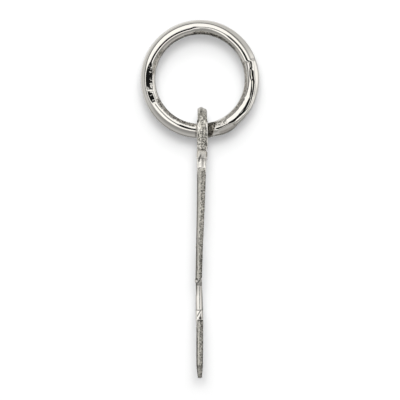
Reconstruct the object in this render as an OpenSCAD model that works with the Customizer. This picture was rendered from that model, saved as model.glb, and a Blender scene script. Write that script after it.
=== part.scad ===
// Letter charm: a flat cast block S with an ear, hanging from a round-wire jump ring.
// Millimetres, +Z up. The origin is the top of the ring's inside, where a chain bears.
// The letter's plane is XZ with its front towards -Y, and the ring lies in the YZ plane.

/* [Jump ring] */
// Inside diameter of the ring
ring_inside_d = 6.22; // [6.1:0.02:6.5]
// Diameter of the round wire that the ring is bent from
wire_d = 1.01; // [0.9:0.01:1.06]

/* [Ear] */
// Width of the ear across its two sides
ear_w = 3; // [2.6:0.1:3.4]
// Diameter of the hole that the ring's wire passes through
ear_hole_d = 1.4; // [1.3:0.05:1.5]
// Metal between the hole and the top of the ear
ear_crown = 1.1; // [0.8:0.05:1.15]
// Metal between the hole and the top edge of the letter
ear_neck = 0.57; // [0.4:0.01:0.8]
// Depth that the ear's foot reaches down over the front of the letter
ear_foot = 0.55; // [0.2:0.05:0.8]
// Thickness of the ear from back to front
ear_t = 0.7; // [0.6:0.01:0.8]

/* [Letter] */
// Height of the letter without its ear
letter_h = 15.66; // [15.5:0.02:17]
// Width of the letter
letter_w = 10.4; // [10:0.1:11]
// Width of the letter's strokes
stroke_w = 2.25; // [2:0.05:2.4]
// Width of the letter's middle bar
bar_w = 2.6; // [2.2:0.05:2.8]
// Thickness of the plate at the top edge, where it is thickest
plate_t = 0.62; // [0.5:0.01:0.7]
// Opening at the letter's side between its middle bar and the end of its outer stroke
mouth_h = 1.8; // [1.6:0.05:3]

/* [Corners of the letter] */
// Cut along each side of the upper left corner and of its opposite one
crown_clip = 1.18; // [0.6:0.02:1.4]
// Cut along each side of the lower left corner and of its opposite one
foot_clip = 0.83; // [0.5:0.01:1.2]
// Cut along each side of a stroke end's outer corner
tip_clip = 0.65; // [0.2:0.05:0.8]
// Cut along each side of the outer corners of the middle bar
bar_clip = 0.25; // [0.1:0.05:0.4]
// Filling of the inside corners, along each side
inner_clip = 0.3; // [0.1:0.05:0.4]

/* [Hidden] */
$fn = 96;

silver_polished = [0.86, 0.86, 0.84];
silver_cast = [0.74, 0.73, 0.70];

// Heights of the ring and of the ear that hangs on it
wire_r = wire_d / 2;
ring_mid_r = (ring_inside_d + wire_d) / 2;
ring_centre_z = -ring_inside_d / 2;
wire_top_z = -ring_inside_d;
// The ring curves up through the thick ear, so the hole clears the wire by this much in the middle
seat_gap = 0.08;
hole_top_z = wire_top_z + seat_gap;
hole_z = hole_top_z - ear_hole_d / 2;
ear_top_z = hole_top_z + ear_crown;
ear_round_z = ear_top_z - ear_w / 2;
letter_top_z = hole_top_z - ear_hole_d - ear_neck;
letter_mid_z = letter_top_z - letter_h / 2;
ear_foot_z = letter_top_z - ear_foot;
ear_mid_y = -0.157;
// Corner that is taken off each side of the ear's foot
foot_corner = 0.4;
// Room that a cutting or slicing shape has beyond what it cuts
spare = 1;

// The plate isn't perfectly flat: it bends a little and gets thinner downwards.
// Columns: share of the height below the top edge, middle of the plate in Y, share of plate_t
SECTIONS = [
    [0.000, -0.110, 1.00],
    [0.080, -0.105, 0.98],
    [0.220, -0.065, 0.89],
    [0.400,  0.025, 0.76],
    [0.570,  0.090, 0.71],
    [0.750,  0.015, 0.76],
    [0.945,  0.025, 0.72],
    [1.000,  0.005, 0.42],
];

// Half of the letter's outline about its middle; the other half is the same, turned by 180 degrees.
// Columns: x, z, cut along each side of the corner
half_w = letter_w / 2;
half_h = letter_h / 2;
half_bar = bar_w / 2;
HALF_CORNERS = [
    [-half_w, half_h, crown_clip],
    [-half_w, -half_bar, bar_clip],
    [half_w - stroke_w, -half_bar, inner_clip],
    [half_w - stroke_w, stroke_w - half_h, inner_clip],
    [stroke_w - half_w, stroke_w - half_h, inner_clip],
    [stroke_w - half_w, -half_bar - mouth_h, bar_clip],
    [-half_w, -half_bar - mouth_h, tip_clip],
    [-half_w, -half_h, foot_clip],
];
CORNERS = concat(HALF_CORNERS, [for (c = HALF_CORNERS) [-c[0], -c[1], c[2]]]);

// The point on the side from a corner towards another one, at the corner's cut
function cut_point(corner, other) =
    let (side = [other[0] - corner[0], other[1] - corner[1]])
    [corner[0], corner[1]] + side / norm(side) * corner[2];

// Two points for each corner, one on either side of it
OUTLINE = [
    for (i = [0:len(CORNERS) - 1])
        let (before = CORNERS[(i + len(CORNERS) - 1) % len(CORNERS)],
             after = CORNERS[(i + 1) % len(CORNERS)])
        each [cut_point(CORNERS[i], before), cut_point(CORNERS[i], after)]
];

// Side view of the plate: down its back face, then up its front face
PROFILE = concat(
    [for (s = SECTIONS) [s[1] + s[2] * plate_t / 2, -s[0] * letter_h]],
    [for (i = [len(SECTIONS) - 1:-1:0])
        [SECTIONS[i][1] - SECTIONS[i][2] * plate_t / 2, -SECTIONS[i][0] * letter_h]]
);

// Front view drawn in XY, stood up in XZ and given a thickness about y_mid
module front_shape(thickness, y_mid) {
    translate([0, y_mid + thickness / 2, 0])
        rotate([90, 0, 0])
            linear_extrude(thickness)
                children();
}

// The ring is bent from round wire and soldered shut
module jump_ring() {
    color(silver_polished)
        translate([0, 0, ring_centre_z])
            rotate([0, 90, 0])
                rotate_extrude()
                    translate([ring_mid_r, 0])
                        circle(wire_r);
}

// The letter's strokes, as thick at each height as the side view gives
module plate() {
    intersection() {
        translate([0, 0, letter_mid_z])
            front_shape(2 * spare, 0)
                polygon(OUTLINE);
        translate([-half_w - spare, 0, letter_top_z])
            rotate([90, 0, 90])
                linear_extrude(letter_w + 2 * spare)
                    polygon(PROFILE);
    }
}

// Front view of the ear: a round top, straight sides and a foot with its corners off
module ear_outline() {
    translate([0, ear_round_z])
        circle(ear_w / 2);
    polygon([
        [-ear_w / 2, ear_round_z],
        [-ear_w / 2, ear_foot_z + foot_corner],
        [foot_corner - ear_w / 2, ear_foot_z],
        [ear_w / 2 - foot_corner, ear_foot_z],
        [ear_w / 2, ear_foot_z + foot_corner],
        [ear_w / 2, ear_round_z],
    ]);
}

// Plate and ear are one casting, and the ear is drilled for the ring
module letter() {
    color(silver_cast)
        difference() {
            union() {
                plate();
                front_shape(ear_t, ear_mid_y) ear_outline();
            }
            translate([0, 0, hole_z])
                rotate([90, 0, 0])
                    cylinder(h = ear_t + 2 * spare, d = ear_hole_d, center = true);
        }
}

jump_ring();
letter();
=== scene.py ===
# Letter charm: a cast silver S on a soldered jump ring, seen from the letter's left edge.
import math

import bpy
import numpy as np
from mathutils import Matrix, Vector
from mathutils.geometry import delaunay_2d_cdt


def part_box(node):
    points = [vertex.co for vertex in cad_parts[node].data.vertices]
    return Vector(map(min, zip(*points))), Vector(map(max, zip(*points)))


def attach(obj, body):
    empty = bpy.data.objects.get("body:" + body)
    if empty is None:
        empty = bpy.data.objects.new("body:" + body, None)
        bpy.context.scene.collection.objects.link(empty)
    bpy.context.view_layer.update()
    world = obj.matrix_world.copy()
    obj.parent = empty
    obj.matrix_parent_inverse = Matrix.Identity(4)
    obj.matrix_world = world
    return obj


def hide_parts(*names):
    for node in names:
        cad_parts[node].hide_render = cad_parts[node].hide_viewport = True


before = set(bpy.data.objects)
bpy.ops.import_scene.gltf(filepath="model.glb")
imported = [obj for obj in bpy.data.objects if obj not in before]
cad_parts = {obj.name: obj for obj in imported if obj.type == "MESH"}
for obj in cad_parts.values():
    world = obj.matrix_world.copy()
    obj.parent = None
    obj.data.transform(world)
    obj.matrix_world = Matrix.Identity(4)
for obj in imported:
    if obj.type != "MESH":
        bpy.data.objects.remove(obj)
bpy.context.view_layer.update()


# The jump ring.
# A loop of round silver wire, bent shut with pliers, soldered at its join and polished by tumbling.
# The pliers left flats and tooth marks at its sides, and the solder a rough patch beside the ear.
MM = 0.001
ring_low, ring_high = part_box("jump_ring")
RING_CENTRE = np.array((ring_low + ring_high) / 2)
WIRE_R = (ring_high.x - ring_low.x) / 2 / MM
LOOP_R = (ring_high.z - ring_low.z) / 2 / MM - WIRE_R
STEPS_ROUND = 1000
STEPS_ACROSS = 96
# Height in mm of the long waves that drawing and bending left in the wire
SKIN_WAVES = 0.002
# The wire's outer side is swollen beside the join: clock angle in degrees from the top, half length,
# length of the fading, share of the wire's radius
SWELL_CLOCK, SWELL_HALF, SWELL_FADE, SWELL = 152, 8, 10, 0.15

# How far the wire's crest is pushed outwards, or inwards if less than nought, as a share of the wire's
# radius: the wire was squeezed sideways where the pliers held it while it was bent.
# Columns: clock angle in degrees from the top, share
CREST = [
    (0, -0.03), (14, -0.01), (30, -0.10), (40, -0.17), (68.5, -0.18), (71.5, 0.16),
    (86, 0.0), (94, 0.18), (104, 0.30), (113, 0.37), (121, 0.42), (129, 0.36),
    (138, 0.26), (147, 0.15), (158, 0.02),
    (172, -0.12), (186, -0.17), (212, -0.20), (228, -0.20), (243, -0.06), (254, -0.02), (262, -0.14),
    (276, -0.16), (288, -0.02), (305, -0.09), (338, -0.14), (349, -0.13), (354, 0.0),
]
# Flats pressed or filed into the wire.
# Columns: clock angle, tilt outwards in degrees, half length along the ring, depth in mm, height of its
# ends, depth of the streaks along it
FLATS = [
    (76, 5, 11, 0.020, 0.006, 0.0022),
    (85, -4, 12, 0.027, 0.006, 0.0030),
    (101, 3, 20, 0.021, 0.004, 0.0028),
    (122, 4, 19, 0.021, 0.004, 0.0030),
    (153, 38, 17, 0.035, 0.07, 0.0004),
    (269, -2, 24, 0.072, 0.006, 0.0011),
    (251, 1, 14, 0.034, 0.004, 0.0008),
]
# Ridges where the wire's crest is sharper.
# Columns: clock angle, half length, half width in degrees, height in mm
RIDGES = [(14, 17, 8, 0.013), (223, 17, 8, 0.013)]
# Degrees along the wire over which a ridge fades out
RIDGE_FADE = 10
# How dark the wire's inside is: partly tarnish where polishing doesn't reach, partly painted shade that
# darkens the inside of the loop.
# Columns: clock angle, share of residue and painted shade
INSIDE_TARNISH_AND_SHADE = [
    (0, 0.72), (25, 0.72), (45, 0.6), (70, 0.4), (100, 0.4), (125, 0.25), (150, 0.1), (172, 0.2),
    (195, 0.45), (215, 0.55), (240, 0.4), (265, 0.35), (285, 0.4), (300, 0.5), (320, 0.7), (340, 0.78),
]
# The angle over the crest where the inside's middle is, its half width and the width of its fading
INSIDE_OVER, INSIDE_HALF, INSIDE_FADE = -95, 40, 36
# Tooth marks across the wire at the left: first and last clock angle, how many, deepest in mm, and
# how dark the deepest is
TOOTH_FIRST, TOOTH_LAST, TOOTH_COUNT, TOOTH_DEPTH, TOOTH_DARK = 216, 284, 24, 0.018, 0.5
# The stretch where they are deepest: clock angle, half length, length of its fading
TOOTH_STRETCH, TOOTH_HALF, TOOTH_FADE = 264, 16, 40
# The soldered join, beside the ear: clock angle at the wire's crest, slant in degrees a radian, and
# height in mm and half width in degrees of the solder that stands proud of the wire
JOIN_CLOCK, JOIN_SLANT, JOIN_HEIGHT, JOIN_HALF = 163.4, 4.4, 0.016, 0.5
# The solder's own rough patch, which begins at the join and fades in over so many degrees.
# Columns as in the next table
SOLDER_PATCH = (168.5, 8, 0, 90, 0.022, 0.86)
SOLDER_FADE = 0.8
# Rough places left by the solder and the draw plate, and painted shade. The rows with no relief only
# darken the wire: those at clocks 171 and 183.9 are painted shadows of the ear on the wire beside it,
# and those at 150 and 153 painted shade over the outer part and along the outer edge of the swollen flat.
# Columns: clock angle, half length, angle over the crest, half width, relief in mm, residue or painted shade
ROUGH_AND_SHADED_PLACES = [
    # Painted shadow of the ear on the wire beside it
    (171.0, 2.9, -5, 62, 0.0, 1.0),
    (167.5, 4.2, -64, 18, 0.0, 1.0),
    (186.5, 2.0, -50, 10, 0.02, 0.55),
    # Painted shadow of the ear on the wire at its other side
    (183.9, 0.3, 0, 60, 0.0, 0.9),
    # Painted shade along the swollen flat's outer edge and over its outer part
    (153, 11, 68, 9, 0.0, 0.85),
    (150, 10, 44, 10, 0.0, 0.2),
    (156, 8, -36, 28, 0.022, 0.14),
    (267, 17, -6, 26, 0.002, 0.0),
    (292, 16, -38, 14, 0.003, 0.42),
    (215, 30, -50, 22, 0.034, 0.32),
    (20, 30, -62, 20, 0.034, 0.40),
    (143.0, 0.3, 48, 26, 0.0, 0.5),
    (338, 22, -66, 14, 0.014, 0.35),
    (105, 42, -64, 16, 0.016, 0.28),
]
# Degrees over which such a place fades out, along the wire and across it
ROUGH_FADE_ALONG, ROUGH_FADE_OVER = 4, 20
# Relief in mm at which a rough place is full of pits, and residue or painted shade at which it is wholly
# matt
FULL_PITS, FULL_MATT = 0.034, 0.5
# Share of the fine grain that polished metal keeps
LEAST_GRAIN = 0.25


def turns(degrees):
    """An angle brought between -180 and 180 degrees."""
    return (degrees + 180) % 360 - 180


def hill(distance, half_width, edge):
    """1 within half_width of nought and 0 beyond it, with a smooth slope as wide as edge."""
    t = np.clip((half_width + edge / 2 - np.abs(distance)) / edge, 0, 1)
    return t * t * (3 - 2 * t)


def bell(distance, width):
    """exp(-(distance / width)^2): 1 at nought, fading away on both sides."""
    return np.exp(-(distance / width) ** 2)


def past(distance, width):
    """0 up to nought, 1 from width on, and a straight slope between them."""
    return np.clip(distance / width, 0, 1)


def mottle(rows, columns, row_size, column_size, seed):
    """Even random bumps about nought that repeat at the grid's edges: white noise, blurred by a Gaussian
    of the sizes given in grid steps and brought back to a spread of 1."""
    noise = np.fft.rfft2(np.random.default_rng(seed).standard_normal((rows, columns)))
    down = np.exp(-2 * (math.pi * row_size * np.fft.fftfreq(rows))[:, None] ** 2)
    along = np.exp(-2 * (math.pi * column_size * np.fft.rfftfreq(columns))[None, :] ** 2)
    bumps = np.fft.irfft2(noise * down * along, (rows, columns))
    return bumps / bumps.std()


def mesh_piece(name, points_mm, quads, triangles, masks):
    """A mesh object at the origin from points in mm in the frame, four-cornered and three-cornered faces,
    and named masks with one number a point."""
    mesh = bpy.data.meshes.new(name)
    corners = np.concatenate([quads.ravel(), triangles.ravel()])
    sizes = np.concatenate([np.full(len(quads), 4), np.full(len(triangles), 3)])
    mesh.vertices.add(len(points_mm))
    mesh.vertices.foreach_set("co", (points_mm * MM).ravel())
    mesh.loops.add(len(corners))
    mesh.loops.foreach_set("vertex_index", corners)
    mesh.polygons.add(len(sizes))
    mesh.polygons.foreach_set("loop_start", np.concatenate([[0], np.cumsum(sizes)[:-1]]))
    mesh.update(calc_edges=True)
    mesh.shade_smooth()
    for mask, values in masks.items():
        layer = mesh.attributes.new(mask, "FLOAT", "POINT")
        layer.data.foreach_set("value", np.ravel(values).astype(np.float32))
    made = bpy.data.objects.new(name, mesh)
    bpy.context.scene.collection.objects.link(made)
    return made


def bent_wire(clock, over):
    """The wire as drawn and bent, in mm from the loop's line: w cos a towards the viewer and
    w sin a + s r max(cos a, 0)^2 outwards, where a is the angle over the crest, r the wire's radius,
    w that radius with its waves and its swelling, and s the crest's shift."""
    a = np.radians(over)
    crest_clock, crest_share = np.array(CREST, float).T
    shift = np.interp(clock, crest_clock, crest_share, period=360)
    shift = (np.roll(shift, 1, axis=0) + shift + np.roll(shift, -1, axis=0)) / 3
    swell = SWELL * hill(turns(clock - SWELL_CLOCK), SWELL_HALF, SWELL_FADE) * np.clip(np.sin(a), 0, 1)
    waves = SKIN_WAVES * mottle(STEPS_ROUND, STEPS_ACROSS, 34, 12, seed=3)
    radius = WIRE_R * (1 + swell) + waves
    return radius * np.cos(a), radius * np.sin(a) + shift * WIRE_R * np.clip(np.cos(a), 0, 1) ** 2


def pressed_flats(front, out, clock):
    """Front of the wire once each flat has cut off what lies beyond a plane. The plane leans outwards by
    the tilt, is its depth below the wire's radius and rises at its ends, and has streaks along it."""
    for at_clock, tilt, half_length, depth, lift, streaks in FLATS:
        held = hill(turns(clock - at_clock), half_length * 0.6, half_length * 0.8)
        tilt = math.radians(tilt)
        limit = (WIRE_R + lift - (depth + lift) * held - out * math.sin(tilt)) / math.cos(tilt)
        limit = limit + streaks * mottle(*front.shape, 22, 1.0, seed=round(at_clock))
        front = np.where(front > 0, np.minimum(front, limit), front)
    return front


def tooth_bites(clock, over):
    """One share for each tooth mark in turn: s exp(-(d / w)^2) over a short stretch across the wire, where
    d is the clock angle from a slightly slanting line, and s, w and the stretch are drawn at random."""
    chance = np.random.default_rng(11)
    towards = np.clip(np.cos(np.radians(over)), 0, 1)
    pitch = (TOOTH_LAST - TOOTH_FIRST) / TOOTH_COUNT
    for tooth in range(TOOTH_COUNT):
        at = TOOTH_FIRST + pitch * (tooth + chance.uniform(-0.4, 0.4))
        strength = chance.uniform(0.3, 1.0) * hill(at - TOOTH_STRETCH, TOOTH_HALF, TOOTH_FADE)
        slanting = at + over * chance.uniform(-0.04, 0.04)
        bite = bell(turns(clock - slanting), chance.uniform(0.3, 0.7))
        bite = bite * hill(over - chance.uniform(-26, 0), chance.uniform(8, 20), 12)
        yield strength * bite * towards


def wire_skin():
    """Torus: at clock angle c and angle a over the crest the skin is at
    centre + out(c) * (loop radius + o) - X * f, where out(c) points from the centre to the clock angle,
    and f and o are the bent wire's places, less its flats, tooth marks and rough places.
    Returns the points in mm and the masks of matt, dark (residue and painted shade), pitted and grained
    places."""
    clock = np.arange(STEPS_ROUND)[:, None] * 360 / STEPS_ROUND
    over = turns(np.arange(STEPS_ACROSS)[None, :] * 360 / STEPS_ACROSS)
    a = np.radians(over)
    front, out = bent_wire(clock, over)
    front = pressed_flats(front, out, clock)
    for at_clock, half_length, half_width, height in RIDGES:
        ridge = hill(turns(clock - at_clock), half_length, RIDGE_FADE) * bell(over, half_width)
        front = front + height * ridge

    inside_clock, inside_share = np.array(INSIDE_TARNISH_AND_SHADE, float).T
    residue_and_shade = np.interp(clock, inside_clock, inside_share, period=360)
    residue_and_shade = residue_and_shade * hill(over - INSIDE_OVER, INSIDE_HALF, INSIDE_FADE)
    residue_and_shade = residue_and_shade * np.clip(0.9 + 0.3 * mottle(*front.shape, 4, 2.5, seed=8), 0, 1.25)
    for bite in tooth_bites(clock, over):
        front = front - TOOTH_DEPTH * bite
        residue_and_shade = np.maximum(residue_and_shade, TOOTH_DARK * bite)

    from_join = turns(clock - JOIN_CLOCK - JOIN_SLANT * a)
    lumps = mottle(*front.shape, 1.6, 0.9, seed=5)
    matt, pits = np.zeros(front.shape), np.zeros(front.shape)
    for place in (SOLDER_PATCH, *ROUGH_AND_SHADED_PLACES):
        at_clock, half_length, at_over, half_width, relief, dark = place
        rough = hill(turns(clock - at_clock), half_length, ROUGH_FADE_ALONG)
        rough = rough * hill(over - at_over, half_width, ROUGH_FADE_OVER)
        if place is SOLDER_PATCH:
            rough = rough * past(from_join, SOLDER_FADE)
        sunk = rough * relief * (0.5 + 0.5 * lumps)
        front = front - sunk * np.cos(a)
        out = out - sunk * np.sin(a)
        spotted = np.clip(0.8 + 0.6 * lumps * (relief > 0), 0, 1.6)
        residue_and_shade = np.maximum(residue_and_shade, dark * rough * spotted)
        matt = np.maximum(matt, rough * min(1, dark / FULL_MATT))
        pits = np.maximum(pits, rough * min(1, relief / FULL_PITS))
    front = front + JOIN_HEIGHT * bell(from_join, JOIN_HALF) * (np.cos(a) > 0)

    c = np.radians(clock)
    reach = LOOP_R + out
    points = np.stack([-front, -reach * np.sin(c), reach * np.cos(c)], -1)
    grain = LEAST_GRAIN + (1 - LEAST_GRAIN) * matt
    masks = {"matt": matt, "residue_and_shade": residue_and_shade, "pits": pits, "grain": grain}
    return points.reshape(-1, 3) + RING_CENTRE / MM, masks


def band_faces(rows, columns, close_columns):
    """Four-cornered faces of a grid that is closed along its rows, and along its columns if asked."""
    row = np.arange(rows)[:, None]
    column = np.arange(columns if close_columns else columns - 1)[None, :]
    next_row = (row + 1) % rows
    next_column = (column + 1) % columns
    faces = [row * columns + column, next_row * columns + column,
             next_row * columns + next_column, row * columns + next_column]
    return np.stack(np.broadcast_arrays(*faces), -1).reshape(-1, 4)


def number(tree, operation, *values):
    """A Math node with those values or sockets; returns its output."""
    node = tree.nodes.new("ShaderNodeMath")
    node.operation = operation
    for socket, value in zip(node.inputs, values):
        if isinstance(value, bpy.types.NodeSocket):
            tree.links.new(value, socket)
        else:
            socket.default_value = value
    return node.outputs[0]


def blend(tree, kind, share, low, high):
    """A Mix node's result: low where share is 0 and high where it is 1, as numbers or as colours."""
    node = tree.nodes.new("ShaderNodeMix")
    node.data_type = kind
    wanted = {"Factor": share, "A": low, "B": high}
    for socket in node.inputs:
        if socket.enabled and socket.name in wanted:
            value = wanted[socket.name]
            if isinstance(value, bpy.types.NodeSocket):
                tree.links.new(value, socket)
            else:
                socket.default_value = value
    return next(socket for socket in node.outputs if socket.enabled)


# A pit is the middle of a cell of a pattern: how far it reaches there, as a share of the cell's size,
# in plain metal and what a full share of pits adds; how steep its edge is, how dark its floor, and by
# which share of pits every cell has one
PIT_LEAST, PIT_GROWTH, PIT_EDGE, PIT_DARK, PIT_EVERYWHERE = 0.06, 0.46, 10, 0.95, 1 / 8
# How strongly the fine marks change the brightness of matt metal, and the roughness of all metal
MARK_CONTRAST, MARK_ROUGHNESS = 2.6, 0.08


def silver_skin_group():
    """Node group for silver: polished metal, matt metal by one mask, dark residue and painted shade by
    another and pits by a third, with fine marks in roughness and height."""
    tree = bpy.data.node_groups.new("silver_skin", "ShaderNodeTree")
    for label, kind, value in (
        ("Polished colour", "NodeSocketColor", (0.95, 0.92, 0.86, 1)),
        ("Matt colour", "NodeSocketColor", (0.52, 0.485, 0.42, 1)),
        ("Residue and shade colour", "NodeSocketColor", (0.055, 0.05, 0.042, 1)),
        ("Matt", "NodeSocketFloat", 0.0),
        ("Residue and shade", "NodeSocketFloat", 0.0),
        ("Pits", "NodeSocketFloat", 0.0),
        ("Grain", "NodeSocketFloat", 1.0),
        ("Polished roughness", "NodeSocketFloat", 0.08),
        ("Matt roughness", "NodeSocketFloat", 0.42),
        ("Mark size", "NodeSocketFloat", 9000.0),
        ("Pit size", "NodeSocketFloat", 6500.0),
    ):
        tree.interface.new_socket(label, in_out="INPUT", socket_type=kind).default_value = value
    for label, kind in (("Colour", "NodeSocketColor"), ("Roughness", "NodeSocketFloat"),
                        ("Height", "NodeSocketFloat")):
        tree.interface.new_socket(label, in_out="OUTPUT", socket_type=kind)
    given = tree.nodes.new("NodeGroupInput").outputs
    made = tree.nodes.new("NodeGroupOutput").inputs
    place = tree.nodes.new("ShaderNodeTexCoord")
    marks = tree.nodes.new("ShaderNodeTexNoise")
    marks.inputs["Detail"].default_value = 3
    tree.links.new(place.outputs["Object"], marks.inputs["Vector"])
    tree.links.new(given["Mark size"], marks.inputs["Scale"])
    cells = tree.nodes.new("ShaderNodeTexVoronoi")
    tree.links.new(place.outputs["Object"], cells.inputs["Vector"])
    tree.links.new(given["Pit size"], cells.inputs["Scale"])
    reach = number(tree, "MULTIPLY_ADD", given["Pits"], PIT_GROWTH, PIT_LEAST)
    within = number(tree, "SUBTRACT", reach, cells.outputs["Distance"])
    pit = number(tree, "MULTIPLY", within, PIT_EDGE)
    pit.node.use_clamp = True
    allowed = number(tree, "MULTIPLY", given["Pits"], 1 / PIT_EVERYWHERE)
    allowed.node.use_clamp = True
    pit = number(tree, "MULTIPLY", pit, allowed)
    dark = number(tree, "MAXIMUM", given["Residue and shade"], number(tree, "MULTIPLY", pit, PIT_DARK))
    grained = tree.nodes.new("ShaderNodeHueSaturation")
    tree.links.new(given["Matt colour"], grained.inputs["Color"])
    speckle = number(tree, "SUBTRACT", marks.outputs["Fac"], 0.5)
    contrast = number(tree, "MULTIPLY", given["Grain"], MARK_CONTRAST)
    shade = number(tree, "MULTIPLY", speckle, contrast)
    tree.links.new(number(tree, "ADD", shade, 1.0), grained.inputs["Value"])
    metal = blend(tree, "RGBA", given["Matt"], given["Polished colour"], grained.outputs["Color"])
    # The residue colour paints real residue and also painted shade: shadows, dark outlines and dark
    # reflections
    tree.links.new(blend(tree, "RGBA", dark, metal, given["Residue and shade colour"]), made["Colour"])
    rough = blend(tree, "FLOAT", given["Matt"], given["Polished roughness"], given["Matt roughness"])
    rough = number(tree, "MULTIPLY_ADD", speckle, MARK_ROUGHNESS, rough)
    tree.links.new(rough, made["Roughness"])
    bumps = number(tree, "MULTIPLY", marks.outputs["Fac"], given["Grain"])
    tree.links.new(number(tree, "MULTIPLY_ADD", pit, -1, bumps), made["Height"])
    return tree


silver_skin = silver_skin_group()


def silver(name, relief_m, **looks):
    """Silver material that follows the mesh's masks; looks are inputs of the skin group."""
    material = bpy.data.materials.new(name)
    material.use_nodes = True
    tree = material.node_tree
    shader = tree.nodes["Principled BSDF"]
    shader.inputs["Metallic"].default_value = 1.0
    skin = tree.nodes.new("ShaderNodeGroup")
    skin.node_tree = silver_skin
    for label, value in looks.items():
        skin.inputs[label.replace("_", " ")].default_value = value
    for mask, label in (("matt", "Matt"), ("residue_and_shade", "Residue and shade"), ("pits", "Pits"), ("grain", "Grain")):
        read = tree.nodes.new("ShaderNodeAttribute")
        read.attribute_name = mask
        tree.links.new(read.outputs["Fac"], skin.inputs[label])
    bump = tree.nodes.new("ShaderNodeBump")
    bump.inputs["Distance"].default_value = relief_m
    tree.links.new(skin.outputs["Height"], bump.inputs["Height"])
    tree.links.new(skin.outputs["Colour"], shader.inputs["Base Color"])
    tree.links.new(skin.outputs["Roughness"], shader.inputs["Roughness"])
    tree.links.new(bump.outputs["Normal"], shader.inputs["Normal"])
    return material


ring_points, ring_masks = wire_skin()
jump_ring = mesh_piece(
    "jump_ring_wire",
    ring_points,
    band_faces(STEPS_ROUND, STEPS_ACROSS, close_columns=True),
    np.empty((0, 3), int),
    ring_masks,
)
polished_wire = silver("polished_wire", 0.000002, Polished_roughness=0.06, Pit_size=8000)
jump_ring.data.materials.append(polished_wire)
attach(jump_ring, "ring")
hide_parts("jump_ring")


# The letter.
# A block S about half a millimetre thick, cast in one with its ear, and drilled there for the ring.
# Its faces and cut corners are polished; its upright outer edges and the ear's rim stay matt and pitted.
letter_low, letter_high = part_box("letter")
LETTER_W = (letter_high.x - letter_low.x) / MM
EAR_TOP_Z = letter_high.z / MM
FOOT_Z = letter_low.z / MM
EAR_W, EAR_T, EAR_MID_Y, EAR_FOOT = 3.0, 0.70, -0.157, 0.55
EAR_CROWN, HOLE_R, EAR_NECK = 1.10, 0.70, 0.57
HOLE_Z = EAR_TOP_Z - EAR_CROWN - HOLE_R
TOP_Z = HOLE_Z - HOLE_R - EAR_NECK
LETTER_H = TOP_Z - FOOT_Z
STROKE_W, BAR_W, MOUTH_H, PLATE_T = 2.25, 2.6, 1.8, 0.62
CROWN_CLIP, FOOT_CLIP, TIP_CLIP, BAR_CLIP, INNER_CLIP, EAR_FILLET = 1.18, 0.83, 0.65, 0.25, 0.3, 0.3
# The cut at a stroke's end is shorter along the top than TIP_CLIP, its length down the side
TIP_TOP_CLIP = 0.27
MIDDLE_Z = (TOP_Z + FOOT_Z) / 2
BAR_LOW_Z = MIDDLE_Z - BAR_W / 2
TIP_TOP_Z = BAR_LOW_Z - MOUTH_H
# Rounds of averaging that wear the corners of the outline, and those of the two feet
CORNER_WEAR, FOOT_WEAR = 3, 70
# Distance in mm between the points along the edge, and between those of the faces
EDGE_STEP, FACE_STEP = 0.036, 0.24
# So many points are compared with the outline at a time
BATCH = 500
# The edge's wall has so many points across its flat and across each rounded arris
POINTS_FLAT, POINTS_ARRIS = 19, 4
ARRIS_TURN = np.radians(np.linspace(0, 90, POINTS_ARRIS, endpoint=False))
ARRIS_R, TOP_ARRIS_R = 0.05, 0.13
# The ear is thinner above this height, and a little thicker below it, where the ring has burnished it
EAR_WORN_Z, EAR_TIP_T, EAR_WORN_T = -5.99, 0.66, 0.75
# The ear's rounded top slopes down towards its front by so many mm, from this place across on
EAR_SLOPE, EAR_SLOPE_FROM = 0.11, 0.35
# Side view of the plate, top to bottom: share of its height, middle in Y in mm, share of its thickness
SECTIONS = [
    (0.000, -0.110, 1.00), (0.080, -0.105, 0.98), (0.220, -0.065, 0.89), (0.400, 0.025, 0.76),
    (0.570, 0.090, 0.71), (0.750, 0.015, 0.76), (0.945, 0.025, 0.72), (1.000, 0.005, 0.42),
]
# What the side view has besides: a shoulder below the top edge, as a share of the thickness, and in mm
# a burr at the back of the bar's end, a lip at the front of the crown's cut and extra metal at the back
# of the stroke's end
SHOULDER, BURR, LIP, TIP_BACK = 0.11, 0.055, 0.065, 0.032


def letter_corners():
    """Corners of the S about its middle, anticlockwise from the upper left, with the cut along the side
    before each and the side after it. The second half is the first, turned by 180 degrees."""
    half_w, half_h, half_bar = LETTER_W / 2, LETTER_H / 2, BAR_W / 2
    half = np.array([
        (-half_w, half_h, CROWN_CLIP, CROWN_CLIP),
        (-half_w, -half_bar, BAR_CLIP, BAR_CLIP),
        (half_w - STROKE_W, -half_bar, INNER_CLIP, INNER_CLIP),
        (half_w - STROKE_W, STROKE_W - half_h, INNER_CLIP, INNER_CLIP),
        (STROKE_W - half_w, STROKE_W - half_h, INNER_CLIP, INNER_CLIP),
        (STROKE_W - half_w, -half_bar - MOUTH_H, BAR_CLIP, BAR_CLIP),
        (-half_w, -half_bar - MOUTH_H, TIP_TOP_CLIP, TIP_CLIP),
        (-half_w, -half_h, FOOT_CLIP, FOOT_CLIP),
    ])
    return np.concatenate([half, half * (-1, -1, 1, 1)])


def arc(centre, radius, start, stop, count):
    """Points on a circle between two angles in degrees."""
    t = np.radians(np.linspace(start, stop, count))
    return np.column_stack([centre[0] + radius * np.cos(t), centre[1] + radius * np.sin(t)])


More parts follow.
